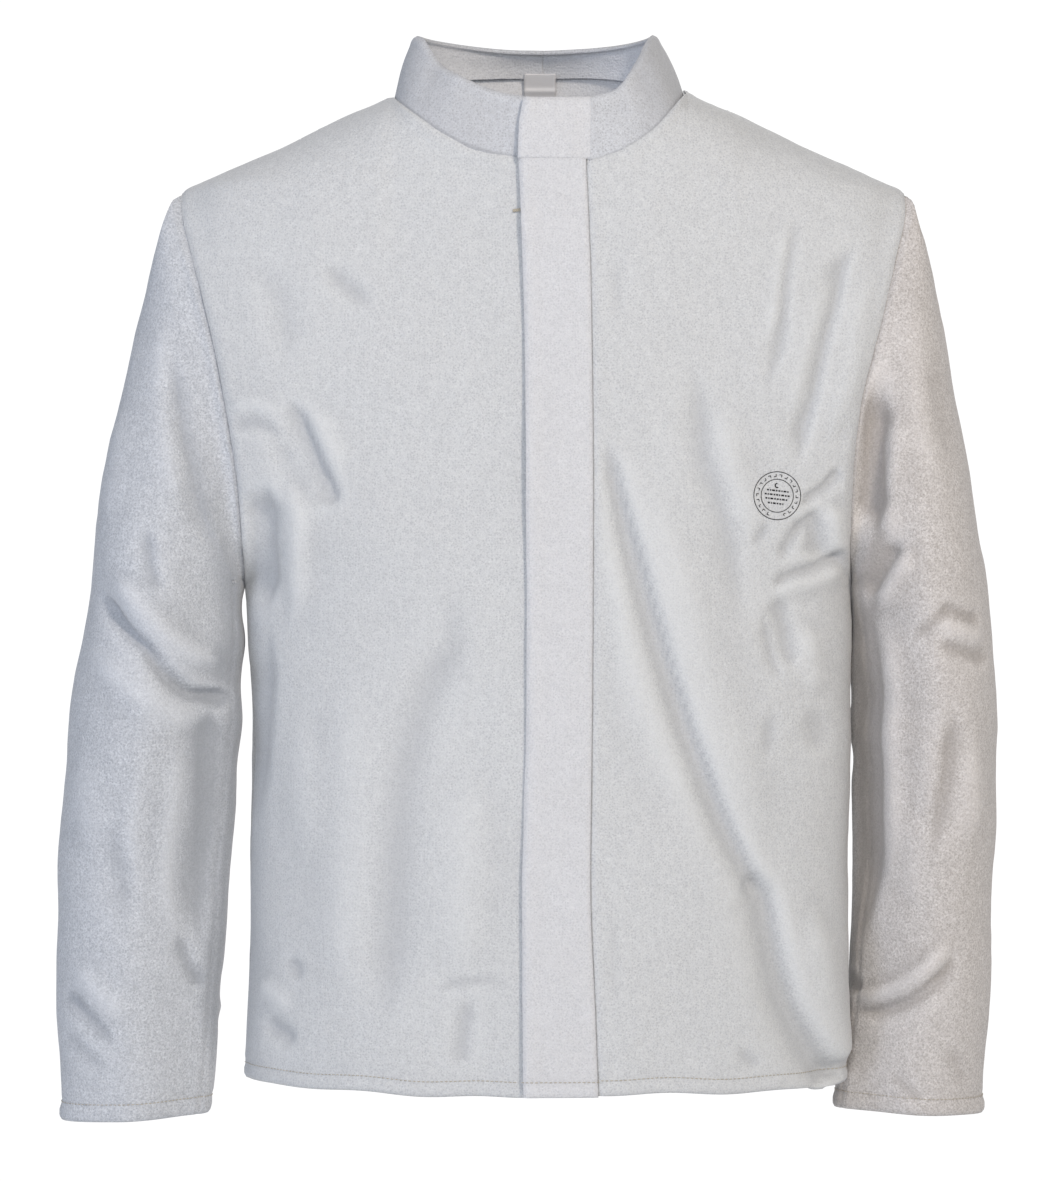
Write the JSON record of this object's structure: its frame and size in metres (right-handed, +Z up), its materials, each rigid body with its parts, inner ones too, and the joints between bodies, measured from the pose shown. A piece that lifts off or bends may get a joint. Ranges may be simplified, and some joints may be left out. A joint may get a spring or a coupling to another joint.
{
  "type": "leather welding jacket",
  "caption": "Split-leather welding jacket with stand-up collar, set-in sleeves and a front fly flap that closes over hook-and-loop tapes.",
  "frame": {"origin": "centre of the neck opening, level with the middle of the collar seam, where the jacket rests on a neck or a hanger", "axes": "+Z up along the wearer's spine; -Y is the jacket's front; +X is the wearer's left"},
  "size_m": [0.7, 0.2447, 0.8043],
  "materials": {
    "suede_body": "light grey split cowhide suede, matte",
    "suede_sleeve": "grey split cowhide suede, coarser nap, matte",
    "suede_lining": "darker grey split leather, flesh side, matte",
    "hook_tape": "grey woven nylon hook tape",
    "loop_tape": "grey brushed nylon loop tape",
    "thread": "undyed aramid sewing thread",
    "stay_tape": "woven cotton tape",
    "label_satin": "white woven satin label"
  },
  "bodies": {
    "body_shell": {"back_panel": "suede_body", "left_front_side": "suede_body", "right_front_side": "suede_body", "collar_outer_back": "suede_body", "collar_lining_back": "suede_lining", "left_shoulder_tape": "stay_tape", "right_shoulder_tape": "stay_tape", "size_label": "label_satin", "hem_thread_back": "thread"},
    "left_front": {"left_front_panel": "suede_body", "left_front_facing": "suede_lining", "collar_outer_left": "suede_body", "collar_lining_left": "suede_lining", "hem_thread_left": "thread"},
    "fly_flap": {"fly_band": "suede_body", "fly_band_lining": "suede_lining", "fly_hook_tapes": "hook_tape", "collar_tab_outer": "suede_body", "collar_tab_lining": "suede_lining", "collar_hook_tape": "hook_tape", "hem_thread_fly": "thread"},
    "right_front": {"right_front_panel": "suede_body", "right_front_facing": "suede_lining", "fly_loop_tapes": "loop_tape", "collar_outer_right": "suede_body", "collar_lining_right": "suede_lining", "collar_loop_tape": "loop_tape", "hem_thread_right": "thread"},
    "left_sleeve_body": {"left_sleeve": "suede_sleeve", "left_cuff_facing": "suede_lining", "left_cuff_thread": "thread"},
    "right_sleeve_body": {"right_sleeve": "suede_sleeve", "right_cuff_facing": "suede_lining", "right_cuff_thread": "thread"}
  },
  "joints": [
    {"name": "left_front_swing", "type": "hinge", "parent": "body_shell", "child": "left_front", "pos_m": [0.1275, -0.084, -0.353], "axis": [-0.129, 0.0054, 0.9916], "range_deg": [0, 60]},
    {"name": "fly_flap_turn", "type": "hinge", "parent": "left_front", "child": "fly_flap", "pos_m": [0.04, -0.10977, -0.381], "axis": [0, 0.0488, 0.9988], "range_deg": [0, 120]},
    {"name": "right_front_swing", "type": "hinge", "parent": "body_shell", "child": "right_front", "pos_m": [-0.1275, -0.084, -0.353], "axis": [-0.129, -0.0054, -0.9916], "range_deg": [0, 21]},
    {"name": "left_sleeve_lift", "type": "hinge", "parent": "body_shell", "child": "left_sleeve_body", "pos_m": [0.266, 0, -0.062], "axis": [0, -1, 0], "range_deg": [0, 20]},
    {"name": "right_sleeve_lift", "type": "hinge", "parent": "body_shell", "child": "right_sleeve_body", "pos_m": [-0.266, 0, -0.062], "axis": [0, 1, 0], "range_deg": [0, 20]}
  ],
  "couplings": [
    {"joint": "right_front_swing", "follows": "left_front_swing", "ratio": 0.35}
  ]
}
